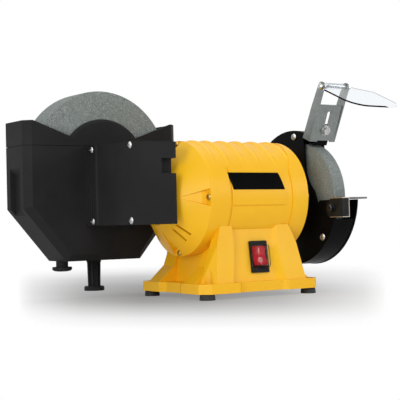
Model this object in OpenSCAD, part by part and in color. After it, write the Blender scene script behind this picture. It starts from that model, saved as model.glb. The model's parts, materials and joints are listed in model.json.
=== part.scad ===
// Combined wet and dry bench grinder.
// One motor turns a fast dry wheel on its shaft and, through a worm gear, a slow wet wheel in a tank.
// +X runs along the motor shaft towards the dry wheel, +Y to the back, +Z up.
// The origin is on the bench, in the middle of the four bench bolts.

/* [Motor] */
// Height of the motor shaft above the bench
motor_z = 127; // [124:0.5:130]
// Radius of the motor barrel
barrel_r = 74; // [73:0.5:75]
// Half the length of the motor barrel
barrel_half = 73.6; // [72:0.2:75]
// Bore of the motor barrel, which holds the stator
barrel_bore_r = 66; // [65:0.5:67]
// Distance from the middle of the motor to the outer face of an end bell
bell_end_x = 110.4; // [109:0.2:111]

/* [Stand] */
// Half the length of the base plate
base_half_x = 93.4; // [90:0.2:95]
// Half the depth of the base plate
base_half_y = 77.5; // [76:0.5:80]
// Height of the rubber feet
foot_h = 7.5; // [6:0.5:8]
// Height of the top of the base plate
base_top = 20; // [18:0.2:21]
// Half the distance between bench bolts along X
bolt_half_x = 80; // [79:0.5:80]
// Half the distance between bench bolts along Y
bolt_half_y = 65; // [64:0.5:66]
// Radius of a bench bolt hole
bench_hole_r = 3.25; // [3:0.25:3.5]

/* [Worm gear] */
// Half the length of the worm's thread
worm_half = 14; // [12:0.5:14]
// Width of the worm wheel
gear_w = 14; // [12:0.5:15]
// Gap between the flanks of the worm and of the worm wheel
backlash = 0.45; // [0.4:0.05:0.6]

/* [Wet side] */
// Distance of the wet spindle from the middle of the motor
wet_x = -141; // [-141.2:0.1:-140.8]
// Radius of the wet wheel
wet_wheel_r = 100; // [98:0.5:100]
// Width of the wet wheel
wet_wheel_w = 40; // [38:0.5:40]
// Y of the middle of the wet wheel
wet_wheel_y = 102.8; // [102:0.2:103]
// Y of the front of the water tank
tank_front = 76; // [75.5:0.5:76]
// Y of the back of the water tank
tank_back = 134.7; // [134:0.1:136]
// Half the length of the water tank
tank_half_x = 113.2; // [112:0.2:114]
// Height of the bottom of the water tank
tank_bottom = 49.5; // [48:0.5:50]
// Height of the joint between tank and splash guard
tank_top = 198; // [197:0.5:199]
// Height of the wings of the splash guard
wing_top = 230; // [228:1:232]
// Wall of the moulded tank and guards
tank_wall = 3; // [2.5:0.5:3]

/* [Dry side] */
// Radius of the dry wheel
dry_wheel_r = 75; // [74:0.5:75]
// Width of the dry wheel
dry_wheel_w = 20; // [18:0.5:20]
// X of the middle of the dry wheel
dry_x = 130.3; // [130:0.1:130.6]
// Outer radius of the wheel guard
guard_r = 92.2; // [92:0.2:93]
// X of the guard's outer plate
guard_x1 = 150; // [149:0.5:151]

/* [Hidden] */

$fn = 96;
eps = 0.01;
yellow = "#e8b427";
black = "#2b2c2e";
stone = "#98a19b";
steel = "#b9bcbd";

// Axes: children are drawn with their own +Z along the shaft and put at x or y on it.
module on_motor(x) {
    translate([x, 0, motor_z]) rotate([0, 90, 0]) children();
}
module on_wet(y) {
    translate([wet_x, y, wet_z]) rotate([-90, 0, 0]) children();
}
// Prisms: a front outline (X, Z) drawn out along Y, and a side outline (Y, Z) drawn out along X.
module front_prism(y0, y1) {
    translate([0, y1, 0]) rotate([90, 0, 0]) linear_extrude(y1 - y0) children();
}
module side_prism(x0, x1) {
    translate([x0, 0, 0]) rotate([90, 0, 90]) linear_extrude(x1 - x0) children();
}
module ring(r_out, r_in, h) {
    difference() {
        cylinder(r = r_out, h = h);
        translate([0, 0, -1]) cylinder(r = r_in, h = h + 2);
    }
}
module box(low, high) {
    translate(low) cube(high - low);
}
module rounded_square(w, h, r) {
    hull() for (x = [-1, 1], y = [-1, 1])
        translate([x * (w / 2 - r), y * (h / 2 - r)]) circle(r, $fn = 32);
}
module at_corners(half_x, half_y) {
    for (x = [-half_x, half_x], y = [-half_y, half_y]) translate([x, y, 0]) children();
}
// Domed screw, head up, with a cross slot; the underside of the head is at the origin.
module pan_screw(r, head_r, head_h, length) {
    difference() {
        union() {
            translate([0, 0, -length]) cylinder(r = r, h = length + eps, $fn = 24);
            rotate_extrude($fn = 32)
                polygon([[0, 0], [head_r, 0], [head_r, head_h * 0.35], [head_r * 0.8, head_h * 0.75],
                         [head_r * 0.4, head_h], [0, head_h]]);
        }
        for (a = [0, 90]) rotate(a)
            translate([-head_r * 0.55, -head_r * 0.11, head_h * 0.45])
                cube([head_r * 1.1, head_r * 0.22, head_h]);
    }
}
module hex(across, h) {
    cylinder(r = across / sqrt(3), h = h, $fn = 6);
}

// Worm gear: the sizes that fix its mesh, and the height of the wet spindle above it
gear_module = 1.85;
wheel_teeth = 22;
centre_distance = 44.25;
wet_z = motor_z + centre_distance;

// Motor: derived sizes
guard_x0 = bell_end_x;
skin_r = barrel_r - 1.6;
bell_lip_x = barrel_half + 3.4;
bell_tip_r = 34;
shaft_r = 8.5;
run_gap = 0.05;
bearing_r = 20;
bearing_w = 12;
bearing_x = 93;
screw_ring_r = 69.5;
mount_ring_r = 29;
ridge_xs = [-58, -38, -14, 10, 36, 61];

// Band at each end of the barrel, narrow on top and widening to its full width on the front.
module band_outline(side, inner_x) {
    polygon([[side * barrel_half, motor_z - 80], [side * inner_x, motor_z - 80],
             [side * inner_x, motor_z + 33], [side * (barrel_half - 2), motor_z + 71],
             [side * barrel_half, motor_z + 71]]);
}
// A ridge is a smaller ring set higher than the barrel, so it fades into the barrel's sides
module barrel_ridge(x) {
    rise = 6;
    r = skin_r - rise;
    translate([0, 0, rise]) on_motor(x) rotate_extrude()
        polygon([[r - 3, -6], [r - 0.2, -5.4], [r + 2.2, -2.6], [r + 3, 0],
                 [r + 2.2, 2.6], [r - 0.2, 5.4], [r - 3, 6]]);
}
// Raised front and back panels of the barrel, with a crease below the middle
module barrel_panels() {
    for (back = [0, 1]) rotate([0, 0, back * 180])
        on_motor(-44) {
            rotate(180 + 58.5) rotate_extrude(angle = 39.5) translate([skin_r - 4, 0])
                square([4 + 1.2, 84]);
            rotate(180 + 99.5) rotate_extrude(angle = 23) translate([skin_r - 4, 0])
                square([4 + 0.7, 84]);
        }
}
module barrel() {
    on_motor(-barrel_half) cylinder(r = skin_r, h = 2 * barrel_half);
    intersection() {
        on_motor(-barrel_half) cylinder(r = barrel_r, h = 2 * barrel_half);
        front_prism(-100, 100) {
            band_outline(-1, 47);
            band_outline(1, 52);
        }
    }
    for (x = ridge_xs) barrel_ridge(x);
    barrel_panels();
}

// Stand: the pedestal is a front outline crossed with a side outline, so it leans on every face.
module pedestal_outline(inset) {
    polygon([[-64 + inset, base_top - 3], [64 - inset, base_top - 3], [56 - inset, 84], [50 - inset, 112],
             [-50 + inset, 112], [-56 + inset, 84]]);
}
module pedestal_side(inset) {
    polygon([[-69 + inset, base_top - 3], [62 - inset, base_top - 3], [57 - inset, 84], [54 - inset, 100],
             [-58 + inset, 100], [-60 + inset, 84]]);
}
module pedestal_block(inset) {
    intersection() {
        front_prism(-90, 90) pedestal_outline(inset);
        side_prism(-90, 90) pedestal_side(inset);
    }
}
// Two pilasters on the front. Each tapers forward from a wide root, so its flanks are splayed.
module pilasters() {
    intersection() {
        union() {
            hull() {
                front_prism(-75, -74.9) polygon([[-72, base_top - 3], [-47, base_top - 3], [-44, 91], [-58, 91]]);
                front_prism(-52.1, -52) polygon([[-82, base_top - 3], [-30, base_top - 3], [-36, 91], [-58, 91]]);
            }
            hull() {
                front_prism(-75, -74.9) polygon([[70, base_top - 3], [39, base_top - 3], [45, 91], [50, 91]]);
                front_prism(-52.1, -52) polygon([[80, base_top - 3], [-12, base_top - 3], [19, 91], [49, 91]]);
            }
        }
        side_prism(-90, 90)
            polygon([[-74.5, base_top - 3], [-50, base_top - 3], [-50, 91], [-64.4, 91]]);
    }
}
// Gussets that flare from the side walls to the four corners of the base plate
module gussets() {
    for (y = [[-52, -28], [30, 56]])
        front_prism(y[0], y[1])
            polygon([[-91, base_top - 1], [92, base_top - 1], [67, 40], [54, 74], [-54, 74], [-67, 40]]);
}
module base_outline() {
    cut = 12;
    step_in = 5;
    difference() {
        polygon([[-base_half_x + cut, -base_half_y], [base_half_x - cut, -base_half_y],
                 [base_half_x, -base_half_y + cut], [base_half_x, base_half_y - cut],
                 [base_half_x - cut, base_half_y], [-base_half_x + cut, base_half_y],
                 [-base_half_x, base_half_y - cut], [-base_half_x, -base_half_y + cut]]);
        for (s = [-1, 1]) {
            polygon([[-39, s * (base_half_y + 1)], [-33, s * (base_half_y - step_in)],
                     [33, s * (base_half_y - step_in)], [39, s * (base_half_y + 1)]]);
            polygon([[s * (base_half_x + 1), -28], [s * (base_half_x - step_in), -16],
                     [s * (base_half_x - step_in), 16], [s * (base_half_x + 1), 28]]);
        }
    }
}
module base_plate() {
    translate([0, 0, foot_h]) linear_extrude(base_top - foot_h) base_outline();
}
panel_lean = 7.65;
switch_z = 50.5;
switch_y = -60 - (84 - switch_z) * tan(panel_lean);
// Puts children on the leaning front panel, with +Z out of it and +Y up along it
module on_switch_panel(out = 0) {
    translate([0, switch_y, switch_z]) rotate([90 - panel_lean, 0, 0]) translate([0, 0, out]) children();
}
module stand_hollow() {
    intersection() {
        pedestal_block(4.5);
        box([-90, -90, 0], [90, 90, 58]);
    }
    box([-57, -57, foot_h - 1], [57, 55, base_top + 1]);
}
module motor_body() {
    color(yellow) difference() {
        union() {
            barrel();
            pedestal_block(0);
            pilasters();
            gussets();
            base_plate();
        }
        on_motor(-barrel_half - 1) cylinder(r = barrel_bore_r, h = 2 * barrel_half + 2);
        stand_hollow();
        on_switch_panel(-24) linear_extrude(34) square([24.4, 35.4], center = true);
        // Seat of the base cover, and the gland hole in the back wall
        translate([0, 0, foot_h - 1]) linear_extrude(2.5) square([128, 124], center = true);
        translate([0, 40, 34]) rotate([-90, 0, 0]) cylinder(r = 6.2, h = 40);
        at_corners(bolt_half_x, bolt_half_y) {
            cylinder(r = bench_hole_r, h = 40);
            translate([0, 0, base_top - 4]) cylinder(r = 7, h = 30);
        }
        at_corners(60, 58) cylinder(r = 1.6, h = base_top - 3);
        for (a = [0 : 90 : 270], x = [-barrel_half, barrel_half - 12])
            on_motor(x) rotate(a) translate([screw_ring_r, 0, -1]) cylinder(r = 2.1, h = 14);
    }
}
module base_cover() {
    color(black) translate([0, 0, foot_h]) difference() {
        linear_extrude(1.4) square([127.4, 123.4], center = true);
        for (x = [-42 : 12 : 42], y = [-20, 20])
            translate([x, y, -1]) linear_extrude(4) square([4, 26], center = true);
        at_corners(60, 58) translate([0, 0, -1]) cylinder(r = 1.9, h = 4);
    }
}
module base_cover_screws() {
    color(steel) at_corners(60, 58) translate([0, 0, foot_h]) mirror([0, 0, 1])
        pan_screw(1.5, 3, 1.8, 9);
}
module rubber_feet() {
    color(black) at_corners(bolt_half_x, bolt_half_y) rotate_extrude()
        polygon([[bench_hole_r, 0], [9.6, 0], [10, 0.6], [9.2, foot_h], [bench_hole_r, foot_h]]);
}
module cable_gland() {
    color(black) translate([0, 0, 34]) rotate([-90, 0, 0]) difference() {
        union() {
            translate([0, 0, 50]) cylinder(r = 6.1, h = 16);
            translate([0, 0, 52]) hex(16, 3.4);
            translate([0, 0, 61.6]) hex(16, 4);
            translate([0, 0, 65.6]) rotate_extrude()
                polygon([[0, 0], [7.4, 0], [7.4, 5], [6.4, 7.5], [5.6, 9], [0, 9]]);
        }
        translate([0, 0, 49]) cylinder(r = 3.6, h = 30);
    }
}
module switch_bezel() {
    color(black) on_switch_panel() difference() {
        union() {
            translate([0, 0, 0.1]) linear_extrude(2.9) rounded_square(27, 40.5, 1.4);
            translate([0, 0, -18]) linear_extrude(18.5) square([24, 35], center = true);
        }
        translate([0, 0, -12]) linear_extrude(20) square([21.4, 29], center = true);
    }
    color(black) on_switch_panel(-9) rotate([0, 90, 0]) translate([0, 0, -11]) cylinder(r = 1.65, h = 22);
}
rocker_r = 17;
// The rocker turns about a pin across the bezel, 9 mm inside the panel; it is drawn switched off.
module switch_rocker() {
    color("#b3262c") on_switch_panel(-9) rotate([-8, 0, 0]) difference() {
        intersection() {
            rotate([0, 90, 0]) translate([0, 0, -10.2]) cylinder(r = rocker_r, h = 20.4);
            rotate([0, -90, 0]) translate([0, 0, -10.2]) linear_extrude(20.4)
                polygon([[-1, -5], [10, -12.6], [13.2, -13.2], [10.6, 0], [13.2, 13.2], [10, 12.6], [-1, 5]]);
        }
        rotate([0, 90, 0]) translate([0, 0, -12]) cylinder(r = 1.7, h = 24);
    }
}
// Soft clear cover that keeps water out of the switch
module switch_splash_cover() {
    color("#e6eef2", 0.35) on_switch_panel(3.05) difference() {
        union() {
            linear_extrude(1) rounded_square(26, 32, 1.4);
            hull() {
                linear_extrude(1) rounded_square(25, 31, 1.4);
                translate([0, 0, 6.6]) linear_extrude(0.8) rounded_square(22, 28, 3);
            }
        }
        translate([0, 0, -0.1]) hull() {
            linear_extrude(1) rounded_square(23.6, 29.6, 1.4);
            translate([0, 0, 5.8]) linear_extrude(0.8) rounded_square(20.8, 26.8, 3);
        }
    }
}

// End bell: a steep cone with a bearing seat, four wedge pockets for its screws and vents below.
// Drawn with +Z out of the motor and the barrel's end at z = 0.
bell_h = bell_end_x - barrel_half;
bell_lip = bell_lip_x - barrel_half;
seat_z = bearing_x - bearing_w / 2 - barrel_half;
module bell_pocket() {
    intersection() {
        rotate([90, 0, 0]) translate([0, 0, -15]) linear_extrude(30)
            polygon([[40, bell_h - 5.6], [62, 9], [64.5, 3.6], [80, 3.6], [80, 40], [40, 40]]);
        linear_extrude(60) polygon([[40, 0], [76, -12], [76, 12]]);
    }
}
module end_bell(mount_angles) {
    difference() {
        union() {
            rotate_extrude() difference() {
                polygon([[0, 0], [barrel_r, 0], [barrel_r, bell_lip], [bell_tip_r + 2, bell_h - 2.4],
                         [bell_tip_r, bell_h], [0, bell_h]]);
                polygon([[-1, -1], [barrel_bore_r - 2, -1], [barrel_bore_r - 2, bell_lip - 2],
                         [bell_tip_r - 4, bell_h - 7], [-1, bell_h - 7]]);
            }
            rotate_extrude() polygon([[shaft_r + 1, seat_z], [bearing_r + 4, seat_z],
                                      [bearing_r + 5, bell_h - 6], [shaft_r + 1, bell_h - 6]]);
            for (a = [45 : 90 : 315]) rotate(a) rotate([90, 0, 0]) translate([0, 0, -2]) linear_extrude(4)
                polygon([[bearing_r + 2, seat_z + 2], [barrel_bore_r - 1, 3], [barrel_bore_r - 1, 8],
                         [bell_tip_r, bell_h - 6], [bearing_r + 2, bell_h - 6]]);
            for (a = [0 : 90 : 270]) rotate(a) intersection() {
                translate([45, -11, 0]) cube([24, 22, bell_h]);
                rotate_extrude() polygon([[0, 0], [barrel_bore_r, 0], [barrel_bore_r, bell_lip + 5],
                                          [bell_tip_r, bell_h], [0, bell_h]]);
            }
        }
        translate([0, 0, seat_z - 1]) cylinder(r = bearing_r, h = bearing_w + 1);
        cylinder(r = shaft_r + 1.5, h = bell_h + 1);
        for (a = [0 : 90 : 270]) rotate(a) {
            bell_pocket();
            translate([screw_ring_r, 0, -1]) cylinder(r = 2.3, h = 20);
        }
        for (a = mount_angles) rotate(a) translate([mount_ring_r, 0, bell_h - 6.5]) cylinder(r = 2.05, h = 8);
        for (a = [48, 60, 120, 132]) rotate(90 - a) translate([44, -1.6, 0]) cube([18, 3.2, bell_h]);
    }
}
module end_bell_left() {
    color(yellow) on_motor(-barrel_half) mirror([0, 0, 1]) end_bell([45 : 90 : 315]);
}
module end_bell_right() {
    color(yellow) on_motor(barrel_half) end_bell([30, 150, 270]);
}
module end_bell_screws() {
    color(steel) for (side = [-1, 1], a = [0 : 90 : 270])
        on_motor(side * barrel_half) mirror([0, 0, side < 0 ? 1 : 0]) rotate(a)
            translate([screw_ring_r, 0, 3.6]) pan_screw(2, 4, 2.6, 13);
}

// Motor insides
stator_half = 26;
slot_count = 24;
module stator_core() {
    color("#6f7275") on_motor(-stator_half) difference() {
        cylinder(r = barrel_bore_r, h = 2 * stator_half);
        translate([0, 0, -1]) cylinder(r = 36.5, h = 2 * stator_half + 2);
        for (k = [0 : slot_count - 1]) rotate(k * 360 / slot_count) translate([0, 0, -1])
            linear_extrude(2 * stator_half + 2)
                polygon([[35, -1.2], [38.5, -1.2], [40, -2.6], [51, -4], [51, 4], [40, 2.6], [38.5, 1.2], [35, 1.2]]);
        for (a = [45 : 90 : 315]) rotate(a) translate([59, 0, -1]) cylinder(r = 2.2, h = 2 * stator_half + 2);
    }
}
module stator_windings() {
    color("#b4652d") {
        for (k = [0 : slot_count - 1]) on_motor(-stator_half - 3) rotate(k * 360 / slot_count)
            linear_extrude(2 * stator_half + 6) polygon([[40.8, -2.3], [50.4, -3.5], [50.4, 3.5], [40.8, 2.3]]);
        for (side = [-1, 1]) on_motor(side * (stator_half + 9)) rotate_extrude()
            polygon([[40, -7], [42, -8.5], [54, -8.5], [57, -5], [57, 4], [53, 8.5], [44, 8.5], [40, 5]]);
    }
}
module rotor_core() {
    color("#8a8d90") on_motor(-stator_half) difference() {
        union() {
            cylinder(r = 36, h = 2 * stator_half);
            for (z = [-8, 2 * stator_half]) translate([0, 0, z]) ring(34, 20, 8);
            for (k = [0 : 7], z = [-12, 2 * stator_half + 7.9]) rotate(k * 45) translate([22, -1.2, z])
                cube([10, 2.4, 4.1]);
        }
        translate([0, 0, -13]) cylinder(r = 11, h = 2 * stator_half + 26);
    }
}
module cooling_fan() {
    color("#33363a") on_motor(46) difference() {
        union() {
            cylinder(r = 15, h = 14);
            cylinder(r = 50, h = 2);
            for (k = [0 : 10]) rotate(k * 360 / 11) translate([13, -1, 0]) cube([36, 2, 14]);
        }
        translate([0, 0, -1]) cylinder(r = 10, h = 16);
    }
}
module run_capacitor() {
    color("#d8d8d4") translate([-40, 34, foot_h + 1.4 + 14]) rotate([0, 90, 0]) {
        cylinder(r = 14, h = 62);
        translate([0, 0, 62]) cylinder(r = 12, h = 3);
        for (y = [-5, 5]) translate([-0.4, y - 3, 65]) cube([0.8, 6, 8]);
    }
}
// Deep-groove ball bearing with its two shields set back from the rings
module ball_bearing(r_in, r_out, w) {
    rotate_extrude() difference() {
        translate([r_in, 0]) square([r_out - r_in, w]);
        for (z = [-1, w - 0.6]) translate([r_in + 3, z]) square([r_out - r_in - 6, 1.6]);
    }
}
module bearing_left() {
    color(steel) on_motor(-bearing_x - bearing_w / 2) ball_bearing(shaft_r + run_gap, bearing_r, bearing_w);
}
module bearing_right() {
    color(steel) on_motor(bearing_x - bearing_w / 2) ball_bearing(shaft_r + run_gap, bearing_r, bearing_w);
}

// Rotor shaft: worm seat on the left, arbor for the dry wheel on the right
worm_seat_r = 7;
arbor_r = 7.9;
arbor_start = guard_x0 + 5.8;
arbor_end = 159;
module motor_shaft() {
    color(steel) {
        on_motor(-166) cylinder(r = 5.5, h = 9);
        on_motor(-157.5) cylinder(r = worm_seat_r, h = 37.5);
        on_motor(-120) cylinder(r = shaft_r, h = 38);
        on_motor(-82) cylinder(r = 10.9, h = 36);
        on_motor(-46) cylinder(r = 11, h = 84);
        on_motor(38) cylinder(r = 10, h = 44);
        on_motor(82) cylinder(r = shaft_r, h = arbor_start - 82);
        on_motor(arbor_start) cylinder(r = arbor_r, h = arbor_end - arbor_start);
    }
}

// Worm gear. The worm is a cam-shaped section twisted along its axis, one turn for each pitch.
worm_pitch = PI * gear_module;
gear_r = gear_module * wheel_teeth / 2;
worm_r = centre_distance - gear_r;
lead_angle = atan(gear_module / (2 * worm_r));
flank = tan(20);
half_tooth = worm_pitch / 4 - backlash / 2;
worm_tip = worm_r + gear_module;
worm_root = worm_r - 1.25 * gear_module;
function worm_angle(r) = 360 * (half_tooth - (r - worm_r) * flank) / worm_pitch;
module worm_section() {
    tip_angle = worm_angle(worm_tip);
    root_angle = worm_angle(worm_root);
    arc = [for (k = [1 : 7]) root_angle + k * (360 - 2 * root_angle) / 8];
    polygon(concat(
        [for (k = [-2 : 2]) worm_tip * [cos(k * tip_angle / 2), sin(k * tip_angle / 2)]],
        [for (k = [1 : 3]) let (r = worm_tip - k * (worm_tip - worm_root) / 3)
            r * [cos(worm_angle(r)), sin(worm_angle(r))]],
        [for (a = arc) worm_root * [cos(a), sin(a)]],
        [for (k = [3 : -1 : 1]) let (r = worm_tip - k * (worm_tip - worm_root) / 3)
            r * [cos(worm_angle(r)), -sin(worm_angle(r))]]));
}
module worm() {
    turns = 2 * worm_half / worm_pitch;
    color("#9a9c9e") on_motor(wet_x) difference() {
        union() {
            rotate(180 - 180 * turns) translate([0, 0, -worm_half])
                linear_extrude(2 * worm_half, twist = -360 * turns, slices = 84, $fn = 20) worm_section();
            translate([0, 0, -worm_half - 3]) cylinder(r = worm_root - 1, h = 2 * worm_half + 6);
        }
        translate([0, 0, -worm_half - 4]) cylinder(r = worm_seat_r, h = 2 * worm_half + 8);
    }
}
module worm_wheel() {
    tip = gear_r + gear_module * 0.95;
    root = gear_r - 1.3 * gear_module;
    function half_angle(r, t) = t / r * 180 / PI;
    tooth = [[root, half_tooth * 1.55], [gear_r - gear_module * 0.6, half_tooth * 1.22],
             [gear_r, half_tooth], [gear_r + gear_module * 0.5, half_tooth * 0.72], [tip, half_tooth * 0.4]];
    helix = gear_w * tan(lead_angle) / gear_r * 180 / PI;
    outline = [for (n = [0 : wheel_teeth - 1], k = [-5 : 5]) if (k != 0)
        let (p = tooth[k < 0 ? 5 + k : 5 - k], s = sign(k),
             a = 90 + (n + 0.5) * 360 / wheel_teeth + s * half_angle(p[0], p[1])) p[0] * [cos(a), sin(a)]];
    color("#d9d2bd") on_wet(0) difference() {
        union() {
            rotate(-helix / 2) translate([0, 0, -gear_w / 2])
                linear_extrude(gear_w, twist = -helix, slices = 4) polygon(outline);
            translate([0, 0, -gear_w / 2 - 5]) cylinder(r = 11.5, h = gear_w + 10);
        }
        translate([0, 0, -20]) cylinder(r = 8, h = 40);
        for (z = [-gear_w / 2 - 1, gear_w / 2 - 2]) translate([0, 0, z]) ring(15.5, 11.7, 3);
    }
}

// Gearbox: a deep box between the motor and the tank, open on the side that its cover closes
box_x0 = -169;
box_x1 = -bell_end_x;
box_front = -47.9;
box_z0 = 95;
box_z1 = 196.5;
cover_x0 = -172;
bulkhead_y = 34;
front_seat_y = -34;
box_wall = 3.6;
tank_screw_xs = [-166.5, -114.5];
tank_screw_zs = [102, 186];
notch_low = [-131, box_front - 1, 157.5];
notch_high = [box_x1 + 1, -37, 176];
module box_outline(grow) {
    translate([(box_x0 + box_x1) / 2, (box_z0 + box_z1) / 2])
        square([box_x1 - box_x0 + 2 * grow, box_z1 - box_z0 + 2 * grow], center = true);
}
module cover_bosses() {
    for (p = [[-42, 100.2], [-42, 191.4], [55, 100.2], [55, 191.4]]) translate([0, p[0], p[1]]) children();
}
module gearbox_housing() {
    wall = box_wall;
    color(black) difference() {
        union() {
            difference() {
                box([box_x0, box_front, box_z0], [box_x1, tank_front, box_z1]);
                box([box_x0 - 1, box_front + wall, box_z0 + wall], [box_x1 - wall, bulkhead_y, box_z1 - wall]);
                box([box_x0 - 1, bulkhead_y + 4, box_z0 + wall], [box_x1 - wall, tank_front - 4, box_z1 - wall]);
            }
            // Wall behind the notch in the front corner
            box([notch_low[0] - 3, box_front, notch_low[2] - 3], [box_x1, notch_high[1] + 3, notch_high[2] + 3]);
            on_wet(box_front) cylinder(r = 19, h = front_seat_y + 10 - box_front);
            on_wet(bulkhead_y - 4) cylinder(r = 24, h = 24);
            cover_bosses() rotate([0, 90, 0]) translate([0, 0, box_x0]) cylinder(r = 4.8, h = 40);
        }
        box(notch_low, notch_high);
        on_wet(front_seat_y) cylinder(r = 15.5, h = 20);
        on_wet(bulkhead_y - 5) cylinder(r = 19, h = 21);
        // Room for the rim of the worm wheel under the top
        on_wet(-9) cylinder(r = 22.8, h = 18);
        on_wet(bulkhead_y) cylinder(r = 11, h = 60);
        on_motor(box_x1 - 10) cylinder(r = 24, h = 12);
        for (a = [45 : 90 : 315]) on_motor(box_x1 - 10) rotate(a) translate([mount_ring_r, 0, 0])
            cylinder(r = 2.3, h = 12);
        cover_bosses() rotate([0, 90, 0]) translate([0, 0, box_x0 - 1]) cylinder(r = 1.7, h = 20);
        for (x = tank_screw_xs, z = tank_screw_zs) translate([x, 66, z]) rotate([-90, 0, 0])
            cylinder(r = 2.2, h = 20);
    }
}
module gearbox_side_cover() {
    color(black) difference() {
        union() {
            box([cover_x0, box_front, box_z0], [box_x0, tank_front, box_z1]);
            side_prism(box_x0, box_x0 + 2.4)
                translate([-5, (box_z0 + box_z1) / 2]) square([62, 80], center = true);
            // Seat of the worm's outer bearing
            on_motor(box_x0) cylinder(r = 11, h = 9);
            // Upright ridge between the smooth panel and the grooved strip
            translate([cover_x0, 43.5, box_z0]) linear_extrude(box_z1 - box_z0)
                polygon([[0.5, -3.5], [-1.6, -1.5], [-1.6, 1.5], [0.5, 3.5]]);
        }
        on_motor(cover_x0 + 2) cylinder(r = 5.5 + run_gap, h = 12);
        for (y = [51, 56, 61, 66, 71]) translate([cover_x0 - 1, y - 0.7, box_z0 - 1])
            cube([1.9, 1.4, box_z1 - box_z0 + 2]);
        cover_bosses() rotate([0, 90, 0]) translate([0, 0, cover_x0 - 1]) cylinder(r = 2.1, h = 9);
        cover_bosses() rotate([0, 90, 0]) translate([0, 0, cover_x0 - 1]) cylinder(r = 4.6, h = 1.8);
    }
}
module gearbox_cover_screws() {
    color(steel) cover_bosses() translate([cover_x0 + 0.8, 0, 0]) rotate([0, -90, 0])
        pan_screw(1.65, 4.3, 3, 13);
}
module gearbox_mount_screws() {
    color(steel) for (a = [45 : 90 : 315]) on_motor(box_x1 - box_wall) rotate(a)
        translate([mount_ring_r, 0, 0]) mirror([0, 0, 1]) pan_screw(2, 3.8, 2, 9);
}
module spindle_bearing_front() {
    color(steel) on_wet(front_seat_y + 1) ball_bearing(8 + run_gap, 15.5, 9);
}
module spindle_bearing_rear() {
    color(steel) on_wet(bulkhead_y + 4) ball_bearing(8.5 + run_gap, 19, 12);
}
seal_y = tank_front - 4;
module spindle_seal() {
    color("#3d3f42") on_wet(seal_y) rotate_extrude()
        polygon([[9 + run_gap, 0], [11, 0], [11, tank_wall + 4], [15, tank_wall + 4], [15, tank_wall + 4.7],
                 [9 + run_gap, tank_wall + 4.7]]);
}

// Wet spindle: front journal, worm wheel seat, rear journal, then the stub that carries the wheel
wheel_y0 = wet_wheel_y - wet_wheel_w / 2;
wheel_y1 = wet_wheel_y + wet_wheel_w / 2;
module wet_spindle() {
    color(steel) {
        on_wet(front_seat_y + 0.6) cylinder(r = 8, h = 29 - front_seat_y);
        on_wet(29) cylinder(r = 8.5, h = 27);
        on_wet(56) cylinder(r = 9, h = wheel_y0 - 56 - 3);
        on_wet(wheel_y0 - 3) cylinder(r = 7.9, h = wet_wheel_w + 10.6);
    }
}
module wheel_flange(r, bore, h) {
    rotate_extrude() polygon([[bore, 0], [r, 0], [r, h * 0.45], [r * 0.6, h], [bore, h]]);
}
module wet_flange_inner() {
    color(steel) on_wet(wheel_y0) mirror([0, 0, 1]) rotate_extrude()
        polygon([[7.9, 0], [25, 0], [25, 1.1], [16, 2.8], [7.9, 2.8]]);
}
module wet_flange_outer() {
    color(steel) on_wet(wheel_y1) wheel_flange(27, 7.9, 3);
}
// Grinding wheel with chamfered edges and a shallow recess on each face
module grinding_wheel(r, w, bore) {
    rotate_extrude($fn = 128)
        polygon([[bore, 0], [r * 0.4, 0], [r - 0.8, 0], [r, 0.8], [r, w - 0.8], [r - 0.8, w], [bore, w]]);
}
module wet_wheel() {
    color(stone) on_wet(wheel_y0) grinding_wheel(wet_wheel_r, wet_wheel_w, 7.95);
}
module wet_nut() {
    color(steel) on_wet(wheel_y1 + 3) difference() {
        hex(21, 4.2);
        translate([0, 0, -1]) cylinder(r = 7.9, h = 7);
    }
}

// Water tank: a hopper with a narrow floor, its front edges bevelled, and a grip pocket in each end
bevel = 9;
floor_half = 55;
knee_z = 118;
module tank_outline(inset, top) {
    slope = atan((knee_z - tank_bottom) / (tank_half_x - floor_half));
    knee_rise = inset * (1 - sin(slope)) / cos(slope);
    floor_step = inset * (1 - cos(slope)) / sin(slope);
    translate([wet_x, 0]) polygon([
        [-tank_half_x + inset, knee_z + knee_rise], [-floor_half + floor_step, tank_bottom + inset],
        [floor_half - floor_step, tank_bottom + inset], [tank_half_x - inset, knee_z + knee_rise],
        [tank_half_x - inset, top], [-tank_half_x + inset, top]]);
}
module hopper(shrink, top) {
    hull() {
        front_prism(tank_front + bevel, tank_back - shrink) tank_outline(shrink, top);
        front_prism(tank_front + shrink, tank_front + bevel) tank_outline(bevel + shrink * 0.4, top);
    }
}
module grip_pockets(grow) {
    for (s = [-1, 1]) translate([wet_x, 0, 0]) front_prism(94 - grow, 124 + grow)
        polygon([[s * (tank_half_x + 9), 171 + grow + 12], [s * (tank_half_x - 7 - grow), 160 + grow],
                 [s * (tank_half_x - 7 - grow), 96], [s * (tank_half_x + 9), 96]]);
}
plug_x = -188;
plug_y = 113;
module water_tank() {
    color(black) difference() {
        union() {
            difference() {
                hopper(0, tank_top);
                difference() {
                    hopper(tank_wall, tank_top + 1);
                    grip_pockets(tank_wall);
                }
                grip_pockets(0);
            }
            translate([plug_x, plug_y, tank_bottom - 7.5]) cylinder(r = 7.9, h = 8);
            translate([wet_x, plug_y, tank_bottom]) cylinder(r = 9, h = 10);
        }
        translate([plug_x, plug_y, tank_bottom - 9]) cylinder(r = 5.6, h = 14);
        translate([wet_x, plug_y, tank_bottom - 1]) cylinder(r = 3.1, h = 9);
        on_wet(tank_front - 1) cylinder(r = 11, h = 8);
        for (x = tank_screw_xs, z = tank_screw_zs) translate([x, tank_front - 1, z]) rotate([-90, 0, 0])
            cylinder(r = 2.2, h = 8);
    }
}
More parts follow.
